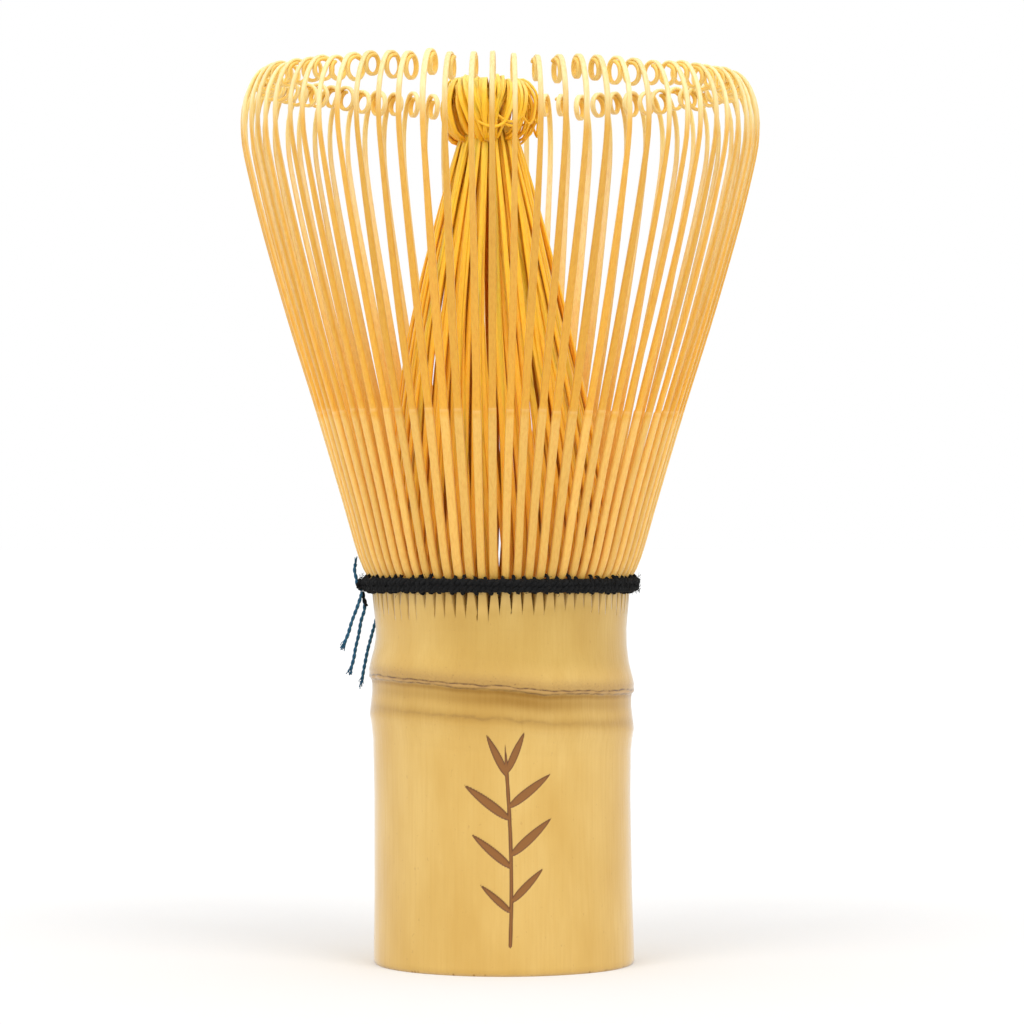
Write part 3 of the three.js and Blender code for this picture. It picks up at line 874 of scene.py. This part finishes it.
def lacing_wrap(solid, index):
    """The thread over the lacing between two tines, a little slanted."""
    angle = index * PITCH + random.normal(0, 0.006)
    slant = PITCH * random.uniform(0.05, 0.3) * random.choice([-1, 1])
    low = THREAD_Z - 0.78 - random.uniform(0.0, 0.16)
    high = THREAD_Z + 0.8 + random.uniform(0.0, 0.45)
    knots = [(14.9, -1, low + 0.25), (15.6, -0.9, low), (16.2, -0.5, low + 0.3),
             (16.52, 0, THREAD_Z), (16.3, 0.5, high - 0.4), (15.7, 0.9, high),
             (14.9, 1, high - 0.1)]
    points = [(r * math.cos(angle + slant * share), r * math.sin(angle + slant * share), z)
              for r, share, z in knots]
    yarn(solid, through(points, 24), 0.24, 1.2, sides=5)


def build_lacing():
    # piece, CAD node, radius, height, phase of its waves
    rounds = [("lacing_lower", "thread_round_lower", 16.2, THREAD_Z - 0.36, 0.3),
              ("lacing_upper", "thread_round_upper", 16.25, THREAD_Z + 0.34, 1.9),
              ("lacing_inside", "thread_round_inside", 14.1, THREAD_Z + 0.1, 0.9)]
    for name, node, radius, z, phase in rounds:
        solid = Solid("crest")
        yarn(solid, round_path(radius, z, phase), 0.46, 1.5, closed=True)
        piece = solid.build(name, THREAD, slot="thread")
        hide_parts(node)
    wraps = Solid("crest")
    lacing_core(wraps)
    for index in range(TINES):
        lacing_wrap(wraps, index)
    wraps.build("lacing_wraps", THREAD, slot="thread")


FUZZ_FIBRES = 700
FUZZ_RADIUS = 16.6             # where the fibres leave the lacing
FRAY_FIBRES = 18               # at each cut end of the thread


def build_fuzz():
    """Loose cotton fibres standing off the lacing."""
    solid = Solid("crest")
    for _ in range(FUZZ_FIBRES):
        out, side = out_and_side(random.uniform(0, 2 * math.pi))
        start = FUZZ_RADIUS * out
        start[2] = THREAD_Z + random.uniform(-0.95, 1.0)
        bend = random.normal(0, 0.3, 3)
        tip = start + out * random.uniform(0.05, 0.3) + side * bend[0]
        tip[2] += bend[1]
        middle = (start + tip) / 2 + out * 0.1 + side * bend[2] * 0.3
        # the loose fibres take the full painted highlight
        solid.add(round_rings(through([start, middle, tip], 6), 0.022, 3), crest=1.0)
    solid.build("lacing_fuzz", THREAD, slot="thread")


def build_knot():
    knot_low, knot_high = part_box("thread_knot")
    centre = np.array([(knot_low[k] + knot_high[k]) / 2 / MM for k in range(3)])
    centre[0] += 1.0                     # closer to the lacing than the CAD's plain knot
    knot = Solid("crest")
    t = np.linspace(0, 2 * math.pi, 120, endpoint=False)
    loop = np.stack([0.22 * np.cos(2 * t), 0.5 * np.sin(3 * t + 0.4),
                     0.36 * np.sin(2 * t) + 0.12 * np.cos(3 * t)], -1)
    yarn(knot, centre + loop, 0.28, 1.4, closed=True)
    stub = [(-16.5, -1.4, 44.3), (-16.25, -1.5, 43.5), (-15.95, -1.5, 42.7)]
    yarn(knot, through(stub, 20), 0.24, 1.4)
    piece = knot.build("lacing_knot", THREAD, slot="thread")
    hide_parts("thread_knot")


def fray(solid, end, direction):
    """The loose fibres at the cut end of a thread."""
    for _ in range(FRAY_FIBRES):
        tip = end + direction * random.uniform(0.3, 0.8) + random.normal(0, 0.16, 3)
        start = end - direction * 0.4 + random.normal(0, 0.08, 3)
        middle = (start + tip) / 2 + random.normal(0, 0.05, 3)
        # the frayed fibres take most of the painted highlight
        solid.add(round_rings(through([start, middle, tip], 6), 0.05, 4), crest=0.6)


def build_thread_ends():
    """The ends of the thread, from the knot outward: one stands up and three hang down."""
    ends = {
        "thread_end_up": [(-16.5, -1.2, 44.6), (-17.0, -1.2, 45.1), (-17.2, -1.2, 46.0),
                          (-17.4, -1.1, 47.0), (-17.3, -1.0, 47.7)],
        "thread_tail_short": [(-16.5, -1.6, 44.4), (-16.7, -1.9, 43.6), (-17.1, -2.1, 42.4),
                              (-17.7, -2.3, 40.8), (-18.1, -2.5, 39.4), (-18.6, -2.6, 38.2)],
        "thread_tail_long": [(-16.4, -0.9, 44.4), (-16.2, -1.0, 42.4), (-16.6, -1.0, 41.0),
                             (-16.9, -1.0, 39.3), (-17.25, -1.0, 37.8), (-17.5, -1.0, 36.4),
                             (-17.85, -1.0, 35.1)],
        "thread_tail_doubled": [(-14.6, 5.0, 44.4), (-14.5, 4.9, 42.6), (-15.1, 3.8, 40.6),
                                (-15.9, 2.0, 37.5), (-16.35, 1.4, 35.2), (-16.6, 1.1, 33.8)],
    }
    for node, points in ends.items():
        solid = Solid("crest")
        path = through(points, 110)
        yarn(solid, path, 0.22, 1.5)
        fray(solid, path[-1], unit(path[-1] - path[-6]))
        piece = solid.build(node + "_yarn", TAIL, slot="thread")
        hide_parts(node)


# ---- studio --------------------------------------------------------------------------------

FLOOR_HALF = 12.0              # metres
FLOOR_GREY = 0.81
EYE = (0.00144, -0.463, 0.0512)    # where the camera stands, in metres
EYE_TILT = 90.34               # degrees up from looking straight down
LENS = 135.7                   # millimetres
SENSOR_WIDTH = 36


def build_floor():
    mesh = bpy.data.meshes.new("studio_floor")
    corners = [(x * FLOOR_HALF, y * FLOOR_HALF, 0) for x, y in ((-1, -1), (1, -1), (1, 1), (-1, 1))]
    mesh.from_pydata(corners, [], [(0, 1, 2, 3)])
    floor = bpy.data.objects.new("studio_floor", mesh)
    bpy.context.scene.collection.objects.link(floor)
    s = Shader("studio_white")
    grey = (FLOOR_GREY, FLOOR_GREY, FLOOR_GREY, 1)
    mesh.materials.append(s.finish(grey, 0.95, Specular_IOR_Level=0.0))


def add_sun(name, azimuth, elevation, softness, strength):
    """A soft lamp far away. Azimuth 0 shines from the camera's side, 90 from the right."""
    lamp = bpy.data.lights.new(name, "SUN")
    lamp.energy = strength
    lamp.angle = math.radians(softness)
    light = bpy.data.objects.new(name, lamp)
    bpy.context.scene.collection.objects.link(light)
    light.rotation_euler = (math.radians(90 - elevation), 0, math.radians(azimuth))


def build_studio():
    scene = bpy.context.scene
    scene.view_settings.view_transform = "Standard"
    world = bpy.data.worlds.new("studio")
    scene.world = world
    world.use_nodes = True
    sky = world.node_tree.nodes["Background"]
    sky.inputs["Color"].default_value = (1, 1, 1, 1)
    sky.inputs["Strength"].default_value = 1.0
    add_sun("key_left", azimuth=-34, elevation=54, softness=22, strength=0.58)
    add_sun("key_right", azimuth=34, elevation=54, softness=22, strength=0.62)
    camera = bpy.data.cameras.new("camera")
    camera.lens = LENS
    camera.sensor_width = SENSOR_WIDTH
    camera.clip_start = 0.01
    eye = bpy.data.objects.new("camera", camera)
    scene.collection.objects.link(eye)
    eye.location = EYE
    eye.rotation_euler = (math.radians(EYE_TILT), 0, 0)
    scene.camera = eye


build_studio()
build_floor()
build_handle()
build_outer_tines()
build_inner_tines()
build_lacing()
build_fuzz()
build_knot()
build_thread_ends()
